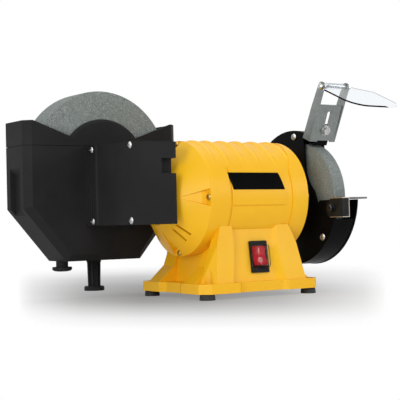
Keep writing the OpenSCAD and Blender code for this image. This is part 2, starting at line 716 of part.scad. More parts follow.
module tank_screws() {
    color(steel) for (x = tank_screw_xs, z = tank_screw_zs) translate([x, tank_front + tank_wall, z])
        rotate([-90, 0, 0]) pan_screw(2, 3.8, 1.6, 8);
}

// Splash guard: two wings and a hump in front of the hub, standing on the rim of the tank
hump_r = 59.5;
module plan_outline(inset) {
    cut = bevel + inset * 0.4;
    polygon([[wet_x - tank_half_x + inset, tank_front + bevel], [wet_x - tank_half_x + cut, tank_front + inset],
             [wet_x + tank_half_x - cut, tank_front + inset], [wet_x + tank_half_x - inset, tank_front + bevel],
             [wet_x + tank_half_x - inset, tank_back - inset], [wet_x - tank_half_x + inset, tank_back - inset]]);
}
module wing_profile(valley) {
    translate([wet_x, 0]) polygon([
        [-tank_half_x - 1, tank_top - 10], [tank_half_x + 1, tank_top - 10], [tank_half_x + 1, wing_top],
        [tank_half_x - 11, wing_top], [44, valley], [-44, valley], [-tank_half_x + 11, wing_top],
        [-tank_half_x - 1, wing_top]]);
}
module splash_guard() {
    color(black) difference() {
        union() {
            intersection() {
                translate([0, 0, tank_top]) linear_extrude(wing_top - tank_top + 1) difference() {
                    plan_outline(0);
                    plan_outline(tank_wall);
                }
                front_prism(tank_front - 1, tank_back + 1) wing_profile(208.5);
            }
            intersection() {
                on_wet(tank_front) rotate_extrude()
                    polygon([[0, 0], [hump_r, 0], [hump_r + 3.4, 3.8], [0, 3.8]]);
                translate([-250, 70, tank_top]) cube([220, 20, 60]);
            }
            // Lip that drops inside the tank
            translate([0, 0, tank_top - 7]) linear_extrude(7 + tank_wall) difference() {
                plan_outline(tank_wall + 0.1);
                plan_outline(tank_wall + 1.6);
            }
        }
        // Reveal along the joint
        translate([0, 0, tank_top - 0.1]) linear_extrude(0.8) difference() {
            plan_outline(-1);
            plan_outline(1.2);
        }
        // The lip stops short of the flange behind it
        on_wet(tank_front + tank_wall + 0.9) cylinder(r = 30, h = 20);
    }
}
module tank_leg() {
    color(black) translate([wet_x, plug_y, 0]) difference() {
        union() {
            translate([0, 0, 8.6]) cylinder(r = 13.4, h = 4.6);
            translate([0, 0, 13.2]) cylinder(r1 = 13.4, r2 = 12.2, h = 1.4);
            translate([0, 0, 12]) cylinder(r1 = 5.4, r2 = 7, h = tank_bottom - 14);
            for (a = [0 : 45 : 135]) rotate(a) rotate([90, 0, 0]) translate([0, 0, -1.3]) linear_extrude(2.6)
                polygon([[-8.2, 12], [8.2, 12], [9.1, tank_bottom - 1], [-9.1, tank_bottom - 1]]);
            translate([0, 0, tank_bottom - 3]) cylinder(r = 9.8, h = 3);
            translate([0, 0, tank_bottom - 1]) cylinder(r = 3, h = 8.5);
        }
        translate([0, 0, 7]) cylinder(r = 5, h = 3.6);
    }
}
module drain_plug() {
    color(black) translate([plug_x, plug_y, tank_bottom - 7.5]) {
        translate([0, 0, -0.2]) cylinder(r = 5.55, h = 11.5);
        mirror([0, 0, 1]) rotate_extrude()
            polygon([[0, 0.1], [12.4, 0.1], [13, 0.8], [13, 3.4], [11, 5.2], [7, 6], [0, 6.2]]);
    }
}

// Dry wheel: flanges, wheel and nut on the arbor
dry_x0 = dry_x - dry_wheel_w / 2;
dry_x1 = dry_x + dry_wheel_w / 2;
module dry_flange_inner() {
    color(steel) on_motor(dry_x0) mirror([0, 0, 1]) wheel_flange(25, arbor_r, dry_x0 - arbor_start - 0.4);
}
module dry_flange_outer() {
    color(steel) on_motor(dry_x1) wheel_flange(25, arbor_r, 3.2);
}
module dry_wheel() {
    color(stone) on_motor(dry_x0) grinding_wheel(dry_wheel_r, dry_wheel_w, arbor_r + 0.05);
}
module dry_nut() {
    color(steel) on_motor(dry_x1 + 3.2) difference() {
        hex(22, 9);
        translate([0, 0, -1]) cylinder(r = arbor_r, h = 11);
    }
}

// Wheel guard: a pan round the dry wheel, open at the front between the eye shield and the tool rest
guard_y = 4;
guard_wall = 2.6;
plate_x = guard_x0 + guard_wall;
cover_x = guard_x1 - guard_wall;
ear_top = 121.5;
band_foot = 96;
post_r = 83.4;
module at_guard(x) {
    translate([x, guard_y, motor_z]) rotate([0, 90, 0]) children();
}
module at_posts() {
    for (a = [85, 155, 215, 319]) rotate(270 - a) translate([post_r, 0, 0]) children();
}
// Opening of the side plates: a scallop round the flange, then straight to the ear of the tool rest
module opening_outline() {
    translate([-75, motor_z + 45]) circle(50);
    polygon([[-24, 232], [-22.5, 207], [-25, 172], [-42, 134], [-48.6, 116.5], [-54, ear_top],
             [-130, ear_top], [-130, 232]]);
}
module band_opening() {
    polygon([[-41, 230], [-41, 196], [-60, 150], [-60, band_foot], [-130, band_foot], [-130, 230]]);
}
// Frame of the eye-shield bracket: +Y up along it, +Z out to the front, the clamp bolt at the origin
bracket_lean = 23.3;
module on_lug(out = 0) {
    translate([dry_x, -48.3, 216.5]) rotate([90 + bracket_lean, 0, 0]) translate([0, 0, out]) children();
}
module wheel_guard() {
    color(black) difference() {
        union() {
            difference() {
                union() {
                    at_guard(plate_x) cylinder(r = guard_r, h = guard_wall);
                    on_motor(guard_x0) cylinder(r = bell_tip_r, h = guard_wall + 1);
                }
                side_prism(guard_x0 - 1, plate_x + guard_wall + 1) opening_outline();
            }
            difference() {
                at_guard(plate_x) ring(guard_r, guard_r - guard_wall, cover_x - plate_x);
                side_prism(guard_x0 - 1, guard_x1 + 1) band_opening();
                // The band ends at the front of the lug
                on_lug(-4.2) translate([-30, -25, 0]) cube([60, 50, 30]);
            }
            at_guard(plate_x) at_posts() cylinder(r = 4, h = cover_x - plate_x);
            // Upturned lug behind the bracket
            on_lug(-7.2) linear_extrude(3) difference() {
                translate([-14, -12.6]) square([28, 19]);
                circle(r = 2.6);
            }
        }
        on_motor(guard_x0 - 1) cylinder(r = 14, h = 12);
        at_guard(plate_x - 1) at_posts() cylinder(r = 2.6, h = 50);
        for (a = [30, 150, 270]) on_motor(guard_x0 - 1) rotate(a) translate([29, 0, 0]) {
            cylinder(r = 2.3, h = 12);
            translate([0, 0, guard_wall * 2 - 1]) cylinder(r1 = 2.3, r2 = 4.6, h = 2.3);
        }
        translate([0, rest_bolt_y, rest_bolt_z]) rotate([0, 90, 0]) cylinder(r = 2.3, h = 130);
    }
}
module guard_cover() {
    color(black) difference() {
        union() {
            at_guard(cover_x + 0.4) cylinder(r = guard_r + 0.8, h = guard_wall - 0.4);
            at_guard(cover_x) ring(guard_r - guard_wall - 0.2, guard_r - guard_wall - 2, 0.5);
        }
        side_prism(cover_x - 1, guard_x1 + 1) opening_outline();
        on_motor(cover_x - 1) cylinder(r = 16, h = 8);
        at_guard(cover_x - 1) at_posts() cylinder(r = 2.6, h = 8);
    }
}
module guard_screws() {
    color(steel) at_guard(plate_x) at_posts() mirror([0, 0, 1]) pan_screw(2.4, 4.6, 3, guard_x1 - plate_x - 1);
}
module guard_mount_screws() {
    color(steel) for (a = [30, 150, 270]) on_motor(guard_x0) rotate(a) translate([29, 0, 0]) {
        translate([0, 0, -6]) cylinder(r = 2, h = 11);
        translate([0, 0, guard_wall * 2 - 2.1]) cylinder(r1 = 2, r2 = 4.1, h = 2);
    }
}

// Tool rest: bent sheet with a slotted leg, clamped to the ear of the guard
rest_bolt_y = -82;
rest_bolt_z = 110.6;
rest_z = 122;
leg_x = plate_x - 3;
module rest_leg_outline() {
    difference() {
        union() {
            translate([-81.5, rest_bolt_z - 1]) circle(r = 11.4);
            translate([-103, 98.4]) square([25, rest_z + 2.4 - 98.4]);
        }
        hull() for (y = [-77.2, -84]) translate([y, rest_bolt_z]) circle(r = 2.8, $fn = 32);
    }
}
module tool_rest() {
    color(steel) {
        side_prism(leg_x, plate_x - 0.1) rest_leg_outline();
        translate([leg_x, 0, rest_z]) linear_extrude(2.4) difference() {
            translate([0, -103]) square([153 - leg_x, 25.5]);
            translate([dry_x - leg_x - 12, -80]) square([24, 4]);
        }
        // Lip folded down along the front edge
        box([leg_x, -103, 98.4], [leg_x + 12, -100.6, rest_z + 1]);
    }
}
module rest_bolt() {
    color("#3a3c3e") translate([0, rest_bolt_y, rest_bolt_z]) rotate([0, -90, 0]) {
        translate([0, 0, -plate_x - 8]) cylinder(r = 2.2, h = 12);
        translate([0, 0, -leg_x + 0.1]) ring(6.6, 2.2, 1.2);
        translate([0, 0, -leg_x + 1.3]) rotate_extrude() polygon([[0, 0], [4.6, 0], [4.6, 3.4], [3.8, 4.4], [0, 4.4]]);
        translate([0, 0, -plate_x - 6.6]) difference() {
            hex(8, 4);
            translate([0, 0, -1]) cylinder(r = 2.2, h = 6);
        }
    }
}

// Eye shield and its bracket
bracket_half = 22.1;
bracket_wall = 2;
plate_foot = -16.7;
plate_head = 35.4;
pivot_up = 59.7;
pivot_in = 3.8;
hinge_r = 2.5;
module flange_outline() {
    hull() {
        polygon([[-15.6, plate_foot], [0, plate_foot], [0, plate_head], [-13.2, plate_head - 6]]);
        translate([-pivot_in, pivot_up]) circle(r = 6.2, $fn = 32);
    }
}
module shield_bracket() {
    color(steel) on_lug() difference() {
        union() {
            translate([-bracket_half, plate_foot, -bracket_wall])
                cube([2 * bracket_half, plate_head - plate_foot, bracket_wall]);
            for (x = [-bracket_half, bracket_half - bracket_wall]) translate([x, 0, 0])
                rotate([90, 0, 90]) linear_extrude(bracket_wall) mirror([1, -1]) flange_outline();
        }
        translate([0, 0, -bracket_wall - 1]) linear_extrude(bracket_wall + 2)
            hull() for (y = [-4.5, 23.5]) translate([0, y]) circle(r = 2.9, $fn = 32);
        translate([-9, plate_foot - 1, -bracket_wall - 1]) cube([22, 2.8, bracket_wall + 2]);
        translate([-50, pivot_up, -pivot_in]) rotate([0, 90, 0]) cylinder(r = hinge_r + 0.1, h = 100);
    }
}
module spark_deflector() {
    color(black) on_lug(-4.1) linear_extrude(1.8) difference() {
        translate([-11.5, -22.5]) square([23, 28.5]);
        hull() for (y = [-3, 2]) translate([0, y]) circle(r = 2.6, $fn = 32);
    }
}
module shield_clamp_bolt() {
    color(steel) on_lug(0.1) {
        cylinder(r = 7, h = 1.2);
        translate([0, 0, 1.2]) hex(10, 4);
        translate([0, 0, -9.4]) cylinder(r = 2.5, h = 9.5);
        translate([0, 0, -12.2]) difference() {
            hex(8, 4);
            translate([0, 0, -1]) cylinder(r = 2.5, h = 6);
        }
    }
}
module shield_hinge_bolt() {
    color(steel) on_lug() translate([0, pivot_up, -pivot_in]) rotate([0, 90, 0]) {
        translate([0, 0, -bracket_half - 0.5]) cylinder(r = hinge_r, h = 2 * bracket_half + 7);
        translate([0, 0, -bracket_half - 3.4]) rotate_extrude()
            polygon([[0, 0], [2.6, 0], [4.4, 1.4], [4.4, 3.3], [0, 3.3]]);
        translate([0, 0, bracket_half + 0.1]) difference() {
            hex(8, 4.6);
            translate([0, 0, -1]) cylinder(r = hinge_r, h = 8);
        }
    }
}
// Clear sheet that widens from its rolled hinge eye and slopes down over the dry wheel
shield_half = 43;
shield_reach = 95;
shield_drop = 24;
module shield_outline(neck) {
    corner_r = 25;
    polygon([[-neck, 0], [neck, 0], [neck, 17], [shield_half, 31], [-shield_half, 31], [-neck, 17]]);
    hull() {
        translate([-shield_half, 30]) square([2 * shield_half, 20]);
        for (x = [corner_r - shield_half, shield_half - corner_r])
            translate([x, shield_reach - corner_r]) circle(r = corner_r);
    }
}
module eye_shield() {
    neck = bracket_half - bracket_wall - 0.6;
    roll_r = 5;
    sheet = 2;
    pivot_y = -48.3 - pivot_up * sin(bracket_lean) + pivot_in * cos(bracket_lean);
    pivot_z = 216.5 + pivot_up * cos(bracket_lean) + pivot_in * sin(bracket_lean);
    color("#dfe9ee", 0.35) translate([dry_x, pivot_y, pivot_z]) rotate([-shield_drop, 0, 180]) difference() {
        union() {
            translate([-neck, 0, 0]) rotate([0, 90, 0]) cylinder(r = roll_r, h = 2 * neck);
            translate([0, 0, roll_r - sheet]) linear_extrude(sheet) shield_outline(neck);
        }
        translate([-neck - 1, 0, 0]) rotate([0, 90, 0]) cylinder(r = hinge_r + run_gap, h = 2 * neck + 2);
    }
}

motor_body();
end_bell_left();
end_bell_right();
end_bell_screws();
base_cover();
base_cover_screws();
rubber_feet();
stator_core();
stator_windings();
run_capacitor();
bearing_left();
bearing_right();
motor_shaft();
rotor_core();
cooling_fan();
cable_gland();
switch_bezel();
switch_rocker();
switch_splash_cover();
worm();
worm_wheel();
gearbox_housing();
gearbox_side_cover();
gearbox_cover_screws();
gearbox_mount_screws();
spindle_bearing_front();
spindle_bearing_rear();
spindle_seal();
wet_spindle();
wet_flange_inner();
wet_flange_outer();
wet_wheel();
wet_nut();
water_tank();
tank_screws();
splash_guard();
tank_leg();
drain_plug();
dry_flange_inner();
dry_flange_outer();
dry_wheel();
dry_nut();
wheel_guard();
guard_cover();
guard_screws();
spark_deflector();
guard_mount_screws();
rest_bolt();
tool_rest();
shield_bracket();
shield_clamp_bolt();
shield_hinge_bolt();
eye_shield();
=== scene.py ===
import json
import math

import bpy
from mathutils import Matrix, Vector


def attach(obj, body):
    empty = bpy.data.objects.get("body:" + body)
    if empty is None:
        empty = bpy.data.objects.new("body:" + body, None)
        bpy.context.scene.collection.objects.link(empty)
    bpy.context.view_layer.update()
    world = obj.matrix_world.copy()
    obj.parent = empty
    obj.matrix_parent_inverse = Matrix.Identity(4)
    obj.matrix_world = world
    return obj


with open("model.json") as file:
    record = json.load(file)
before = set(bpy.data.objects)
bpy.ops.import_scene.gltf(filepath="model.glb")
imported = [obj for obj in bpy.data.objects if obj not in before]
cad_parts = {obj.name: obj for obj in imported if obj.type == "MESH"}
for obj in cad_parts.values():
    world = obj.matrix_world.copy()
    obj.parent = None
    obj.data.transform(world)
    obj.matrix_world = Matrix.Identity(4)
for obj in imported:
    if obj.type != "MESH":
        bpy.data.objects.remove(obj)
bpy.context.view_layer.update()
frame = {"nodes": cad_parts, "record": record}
nodes = frame["nodes"]
bpy.context.scene.view_settings.view_transform = "Standard"

# ---------------------------------------------------------------- camera
YAW, PITCH, ROLL = math.radians(-33.95), math.radians(1.0), math.radians(-1.37)
EYE = Vector((-0.84117, -1.18432, 0.10007))
FOCAL_PX = 1098.39
PICTURE_PX = 400
SENSOR_MM = 36

forward = Vector(
    (-math.sin(YAW) * math.cos(PITCH), math.cos(YAW) * math.cos(PITCH), math.sin(PITCH))
)
right = Vector((math.cos(YAW), math.sin(YAW), 0))
up = right.cross(forward)
# The camera's place over the floor, along its own right and forward directions
EYE_SIDE = EYE.x * math.cos(YAW) + EYE.y * math.sin(YAW)
EYE_BACK = EYE.x * math.sin(YAW) - EYE.y * math.cos(YAW)
cam_x = math.cos(ROLL) * right + math.sin(ROLL) * up
cam_y = -math.sin(ROLL) * right + math.cos(ROLL) * up
cam_data = bpy.data.cameras.new("camera")
cam_data.sensor_width = SENSOR_MM
cam_data.lens = FOCAL_PX / PICTURE_PX * SENSOR_MM
camera = bpy.data.objects.new("camera", cam_data)
camera.matrix_world = Matrix(
    (
        (cam_x.x, cam_y.x, -forward.x, EYE.x),
        (cam_x.y, cam_y.y, -forward.y, EYE.y),
        (cam_x.z, cam_y.z, -forward.z, EYE.z),
        (0, 0, 0, 1),
    )
)
bpy.context.scene.collection.objects.link(camera)
bpy.context.scene.camera = camera


# ---------------------------------------------------------------- materials
def srgb(r, g, b):
    """A colour given as 0..255 screen values, as the linear values that Blender wants."""

    def lin(c):
        c /= 255
        return c / 12.92 if c <= 0.04045 else ((c + 0.055) / 1.055) ** 2.4

    return (lin(r), lin(g), lin(b), 1)


class Mat:
    """A node material with one Principled shader and short calls for the usual nodes."""

    def __init__(self, name, **fixed):
        self.mat = bpy.data.materials.new(name)
        self.mat.use_nodes = True
        self.tree = self.mat.node_tree
        self.shader = self.tree.nodes["Principled BSDF"]
        for key, value in fixed.items():
            self.shader.inputs[key.replace("_", " ")].default_value = value

    def node(self, kind, links=(), **props):
        n = self.tree.nodes.new(kind)
        for key, value in props.items():
            setattr(n, key, value)
        for socket, source in dict(links).items():
            if hasattr(source, "links"):
                self.tree.links.new(source, n.inputs[socket])
            else:
                n.inputs[socket].default_value = source
        return n

    def place(self, scale=(1, 1, 1)):
        co = self.node("ShaderNodeTexCoord").outputs["Object"]
        return self.node("ShaderNodeMapping", {"Vector": co, "Scale": scale}).outputs["Vector"]

    def noise(self, scale, detail=3, rough=0.5, where=None):
        links = {"Scale": scale, "Detail": detail, "Roughness": rough}
        links["Vector"] = where or self.place()
        return self.node("ShaderNodeTexNoise", links).outputs["Fac"]

    def cells(self, scale, where=None):
        links = {"Scale": scale, "Vector": where or self.place()}
        return self.node("ShaderNodeTexVoronoi", links).outputs["Distance"]

    def ramp(self, fac, *stops):
        n = self.node("ShaderNodeValToRGB", {"Fac": fac})
        while len(n.color_ramp.elements) < len(stops):
            n.color_ramp.elements.new(0.5)
        for e, (pos, col) in zip(n.color_ramp.elements, stops):
            e.position = pos
            e.color = col if isinstance(col, tuple) else (col, col, col, 1)
        return n.outputs["Color"]

    def span(self, fac, low, high, a=0, b=1):
        links = {"Value": fac, "From Min": a, "From Max": b, "To Min": low, "To Max": high}
        return self.node("ShaderNodeMapRange", links).outputs["Result"]

    def mix(self, fac, a, b, blend="MIX"):
        n = self.node("ShaderNodeMix", data_type="RGBA", blend_type=blend)
        for socket, v in zip((n.inputs[0], n.inputs[6], n.inputs[7]), (fac, a, b)):
            if hasattr(v, "links"):
                self.tree.links.new(v, socket)
            else:
                socket.default_value = v
        return n.outputs[2]

    def math(self, op, a, b):
        return self.node("ShaderNodeMath", {0: a, 1: b}, operation=op).outputs[0]

    def bump(self, height, strength, distance, normal=None):
        links = {"Height": height, "Strength": strength, "Distance": distance}
        if normal is not None:
            links["Normal"] = normal
        return self.node("ShaderNodeBump", links).outputs["Normal"]

    def set(self, socket, source):
        self.tree.links.new(source, self.shader.inputs[socket])
        return self


def yellow_paint():
    m = Mat("yellow_paint", IOR=1.5, Specular_IOR_Level=0.3)
    broad = m.noise(9, 3)
    base = m.ramp(broad, (0.3, srgb(240, 181, 18)), (0.7, srgb(246, 190, 26)))
    dust = m.noise(42, 5, 0.6)
    base = m.mix(m.span(dust, 0, 0.2, 0.55, 0.85), base, srgb(224, 160, 18))
    m.set("Base Color", base)
    m.set("Roughness", m.span(m.noise(70, 3), 0.34, 0.46))
    peel = m.bump(m.noise(520, 2), 0.28, 0.0004)
    return m.set("Normal", m.bump(m.noise(60, 2), 0.08, 0.001, peel)).mat


def black_plastic():
    m = Mat("black_plastic", IOR=1.48, Specular_IOR_Level=0.035)
    broad = m.span(m.noise(14, 4), 0, 1, 0.35, 0.65)
    m.set("Base Color", m.mix(broad, srgb(35, 35, 36), srgb(42, 42, 43)))
    m.set("Roughness", m.span(m.noise(55, 3, 0.6), 0.4, 0.52))
    leather = m.bump(m.cells(1500), 0.12, 0.00025)
    return m.set("Normal", m.bump(m.noise(24, 2), 0.05, 0.002, leather)).mat


def black_paint():
    m = Mat("black_paint", IOR=1.5, Specular_IOR_Level=0.04)
    broad = m.span(m.noise(18, 4), 0, 1, 0.4, 0.7)
    m.set("Base Color", m.mix(broad, srgb(8, 8, 9), srgb(13, 13, 14)))
    m.set("Roughness", m.span(m.noise(90, 4), 0.24, 0.36))
    return m.set("Normal", m.bump(m.noise(380, 2), 0.12, 0.0003)).mat


def rubber():
    m = Mat("foot_rubber", IOR=1.5)
    m.set("Base Color", m.mix(m.noise(80, 4), srgb(24, 24, 25), srgb(40, 40, 41)))
    m.set("Roughness", m.span(m.noise(200, 3), 0.6, 0.8))
    return m.set("Normal", m.bump(m.noise(900, 2), 0.3, 0.0003)).mat


def metal(name, tone, rough, stretch=(1, 1, 1), scale=60, depth=0.1, dirt=0.2):
    m = Mat(name, Metallic=1.0)
    lines = m.noise(scale, 4, 0.6, m.place(stretch))
    low = srgb(*[c * 0.86 for c in tone])
    base = m.mix(m.span(lines, 0, 1, 0.3, 0.7), low, srgb(*tone))
    stain = m.noise(30, 4, 0.6)
    base = m.mix(m.span(stain, 0, dirt, 0.5, 0.8), base, srgb(*[c * 0.55 for c in tone]))
    m.set("Base Color", base)
    m.set("Roughness", m.span(lines, rough, rough + 0.16, 0.3, 0.7))
    return m.set("Normal", m.bump(lines, depth, 0.0002)).mat


def grit(name, dark, mid, light):
    """Bonded abrasive: packed grains of three tones, open pores and a faint band of wear."""
    m = Mat(name, Roughness=0.86, IOR=1.45, Specular_IOR_Level=0.3)
    grain = m.cells(1100)
    tone = m.node("ShaderNodeTexVoronoi", {"Scale": 1100, "Vector": m.place()}).outputs["Color"]
    tone = m.node("ShaderNodeSeparateColor", {"Color": tone}).outputs[0]
    base = m.ramp(tone, (0.0, dark), (0.35, mid), (0.9, mid), (1.0, light))
    speck = m.ramp(m.noise(420, 3, 0.7), (0.42, 0.8), (0.6, 1.0))
    base = m.mix(0.7, base, speck, "MULTIPLY")
    patch = m.span(m.noise(24, 5, 0.6), 0, 0.35, 0.4, 0.75)
    base = m.mix(patch, base, mid)
    m.set("Base Color", base)
    pits = m.bump(m.noise(700, 3, 0.7), 0.55, 0.0006)
    return m.set("Normal", m.bump(grain, 0.4, 0.0006, pits)).mat


def clear(name, tint, ior, rough=0.02):
    m = Mat(name, IOR=ior, Transmission_Weight=1.0)
    lighter = srgb(*[min(255, c + 4) for c in tint])
    m.set("Base Color", m.mix(m.noise(30, 3), srgb(*tint), lighter))
    m.set("Roughness", m.span(m.noise(120, 4, 0.7), rough, rough + 0.04, 0.45, 0.75))
    return m.set("Normal", m.bump(m.noise(40, 2), 0.02, 0.0006)).mat


def rest_steel():
    """Bent sheet: painted dark reflection on the faces, painted highlights on the cut edges round
    leg and lip, grey along the top.
    """
    m = Mat("rest_steel", Specular_IOR_Level=0.1)
    left = min(v.co.x for v in nodes["tool_rest"].data.vertices)
    foot_z, top_z, lip_width, top_edge, low_edge = 0.0984, 0.1244, 0.012, 0.0011, 0.0009
    spot = m.node("ShaderNodeSeparateXYZ", {"Vector": m.place()})
    high = m.math("GREATER_THAN", spot.outputs["Z"], top_z - top_edge)
    low = m.math("LESS_THAN", spot.outputs["Z"], foot_z + low_edge)
    side = m.math("GREATER_THAN", spot.outputs["X"], left + lip_width - top_edge)
    edge = m.math("MAXIMUM", m.math("MAXIMUM", high, low), side)
    beyond = m.math("GREATER_THAN", spot.outputs["X"], left + lip_width + 0.0002)
    broad = m.span(m.noise(60, 4), 0, 1, 0.35, 0.65)
    # Painted dark reflection: the faces are coloured near black for the dark surroundings the
    # steel mirrors.
    painted_dark_reflection = m.mix(broad, srgb(22, 23, 25), srgb(36, 37, 38))
    # Painted highlight: the edge mask colours the cut edges bright, as if they catch the light.
    base = m.mix(edge, painted_dark_reflection, srgb(176, 172, 164))
    m.set("Base Color", m.mix(beyond, base, srgb(104, 105, 104)))
    m.set("Metallic", m.span(edge, 0, 0.8))
    m.set("Roughness", m.span(m.noise(140, 3), 0.32, 0.46))
    return m.set("Normal", m.bump(m.noise(200, 3), 0.08, 0.0002)).mat


def badge_black():
    m = Mat("badge_black", IOR=1.45, Specular_IOR_Level=0.02)
    m.set("Base Color", m.mix(m.noise(60, 3), srgb(4, 4, 5), srgb(8, 8, 9)))
    m.set("Roughness", m.span(m.noise(90, 3), 0.4, 0.5))
    return m.set("Normal", m.bump(m.noise(300, 2), 0.03, 0.0002)).mat


def gloss(name, tone, rough, coat=0.3):
    m = Mat(name, IOR=1.5, Specular_IOR_Level=coat, Coat_Weight=coat, Coat_Roughness=0.08)
    dark = srgb(*[c * 0.85 for c in tone])
    m.set("Base Color", m.mix(m.span(m.noise(50, 3), 0, 1, 0.35, 0.65), dark, srgb(*tone)))
    m.set("Roughness", m.span(m.noise(90, 3), rough, rough + 0.1))
    return m.set("Normal", m.bump(m.noise(300, 2), 0.06, 0.0003)).mat


def laminated():
    m = Mat("core_iron", Metallic=0.8)
    wave = m.node("ShaderNodeTexWave", {"Scale": 640, "Distortion": 0.3, "Vector": m.place()})
    m.set("Base Color", m.mix(wave.outputs["Fac"], srgb(84, 86, 88), srgb(130, 132, 134)))
    m.set("Roughness", m.span(m.noise(90, 3), 0.4, 0.6))
    return m.set("Normal", m.bump(wave.outputs["Fac"], 0.3, 0.0003)).mat


def copper():
    m = Mat("winding_copper", Metallic=0.9, Coat_Weight=0.6, Coat_Roughness=0.15)
    wires = m.cells(900, m.place((1, 1, 0.25)))
    m.set("Base Color", m.ramp(wires, (0.0, srgb(150, 74, 34)), (0.6, srgb(214, 120, 62))))
    m.set("Roughness", m.span(m.noise(60, 3), 0.25, 0.4))
    return m.set("Normal", m.bump(wires, 0.6, 0.0006)).mat


made = {
    "yellow_paint": yellow_paint(),
    "black_plastic": black_plastic(),
    "black_paint": black_paint(),
    "foot_rubber": rubber(),
    "screw_steel": metal("screw_steel", (206, 206, 204), 0.2, scale=240, depth=0.06, dirt=0.15),
    "bright_steel": metal("bright_steel", (188, 190, 191), 0.24, (1, 12, 12), 90),
    "dark_steel": metal("dark_steel", (74, 76, 79), 0.3, scale=160),
    "sheet_steel": metal("sheet_steel", (148, 154, 152), 0.24, (14, 1, 1), 110, 0.2, 0.45),
    "rest_steel": rest_steel(),
    "yellow_zinc": metal("yellow_zinc", (214, 172, 84), 0.3, scale=240, depth=0.06, dirt=0.3),
    "core_iron": laminated(),
    "winding_copper": copper(),
    "capacitor_plastic": gloss("capacitor_plastic", (216, 216, 208), 0.4),
    "rocker_red": gloss("rocker_red", (172, 16, 26), 0.3, coat=0.06),
    "clear_plastic": clear("clear_plastic", (243, 246, 249), 1.07),
    "soft_cover": clear("soft_cover", (246, 246, 248), 1.08, 0.0),
    "badge": badge_black(),
    "gear_nylon": gloss("gear_nylon", (214, 205, 180), 0.4),
    "wheel_grit": grit("wheel_grit", srgb(98, 104, 102), srgb(134, 141, 138), srgb(184, 191, 187)),
    "mark": gloss("mark_cream", (228, 206, 190), 0.35),
}
# Nodes that look different from the rest of their material slot
own = {
    "end_bell_screws": "yellow_zinc",
    "tool_rest": "rest_steel",
    "switch_splash_cover": "soft_cover",
}
for part in frame["record"]["subparts"]:
    mesh = nodes[part["node"]].data
    mesh.materials.clear()
    mesh.materials.append(made[own.get(part["node"], part["material_slot"])])


# ---------------------------------------------------------------- pieces beside the CAD
def add_piece(name, verts, faces, material, body):
    mesh = bpy.data.meshes.new(name)
    mesh.from_pydata(verts, [], faces)
    mesh.update()
    obj = bpy.data.objects.new(name, mesh)
    bpy.context.scene.collection.objects.link(obj)
    mesh.materials.append(material)
    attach(obj, body)


def badge():
    """Bare plate on the front of the barrel: a leaning parallelogram that follows the curve."""
    shaft_z, radius = 0.127, 0.0736
    thick, chamfer, sunk = 0.0009, 0.0004, 0.0006
    a0, a1 = math.radians(65.6), math.radians(83.0)
    left, left_lean, right, right_lean = -0.0475, 0.0055, 0.0325, 0.0065
    rows, cols = 20, 6

    def grid(inset, lift):
        out = []
        for i in range(rows + 1):
            t = i / rows
            t = (t - 0.5) * (1 - 2 * inset / (radius * (a1 - a0))) + 0.5
            a = a0 + (a1 - a0) * t
            x0, x1 = left + left_lean * t + inset, right + right_lean * t - inset
            for j in range(cols + 1):
                x = x0 + (x1 - x0) * j / cols
                r = radius + lift
                out.append((x, -r * math.sin(a), shaft_z + r * math.cos(a)))
        return out

    levels = [(0, -sunk), (0, thick - chamfer), (chamfer, thick)]
    verts = [v for level in levels for v in grid(*level)]
    step = cols + 1
    count = (rows + 1) * step
    faces = []
    for top in (0, 2 * count):
        for i in range(rows):
            for j in range(cols):
                q = top + i * step + j
                quad = (q, q + step, q + step + 1, q + 1)
                faces.append(quad if top else quad[::-1])
    edge = list(range(cols)) + [i * step + cols for i in range(rows)]
    edge += [rows * step + j for j in range(cols, 0, -1)] + [i * step for i in range(rows, 0, -1)]
    for k in (0, 1):
        for e, f in zip(edge, edge[1:] + edge[:1]):
            faces.append((k * count + e, k * count + f, (k + 1) * count + f, (k + 1) * count + e))
    add_piece("badge_plate", verts, faces, made["badge"], "frame")


def raised_ring(place, outer, inner, height):
    """Closed raised band between two outlines of equal length, on the plane of the matrix."""
    n = len(outer)
    rings = [(ring, z) for z in (-height, height) for ring in (outer, inner)]
    verts = [place @ Vector((x, y, z)) for ring, z in rings for x, y in ring]
    faces = []
    for i in range(n):
        j = (i + 1) % n
        faces += [
            (i, j, 2 * n + j, 2 * n + i),
            (n + j, n + i, 3 * n + i, 3 * n + j),
            (2 * n + i, 2 * n + j, 3 * n + j, 3 * n + i),
            (j, i, n + i, n + j),
        ]
    return verts, faces


def rocker_marks():
    """The usual on and off marks of a rocker switch, printed proud of its two faces."""
    panel_at, panel_lean = (0, -0.0645, 0.0505), 7.65
    pivot_depth, rocked = 0.009, 8
    face_at, face_height, face_tilt = 0.0062, 0.01182, math.atan(2.6 / 13.2)
    print_height = 0.0002

    def turned(at, angle):
        return Matrix.Translation(at) @ Matrix.Rotation(angle, 4, "X")

    panel = turned(panel_at, math.radians(90 - panel_lean))
    rocker = panel @ turned((0, 0, -pivot_depth), math.radians(-rocked))
    turn = [2 * math.pi * k / 32 for k in range(32)]
    for name, side in (("mark_on", 1), ("mark_off", -1)):
        place = rocker @ turned((0, side * face_at, face_height), side * face_tilt)
        if side > 0:
            outer = [(0.0007 * (1 if math.cos(t) >= 0 else -1), 0.003 * math.sin(t)) for t in turn]
            inner = [(0.02 * x, 0.02 * y) for x, y in outer]
        else:
            outer = [(0.0029 * math.cos(t), 0.0034 * math.sin(t)) for t in turn]
            inner = [(0.0019 * math.cos(t), 0.0024 * math.sin(t)) for t in turn]
        verts, faces = raised_ring(place, outer, inner, print_height)
        add_piece(name, verts, faces, made["mark"], "rocker")


badge()
rocker_marks()


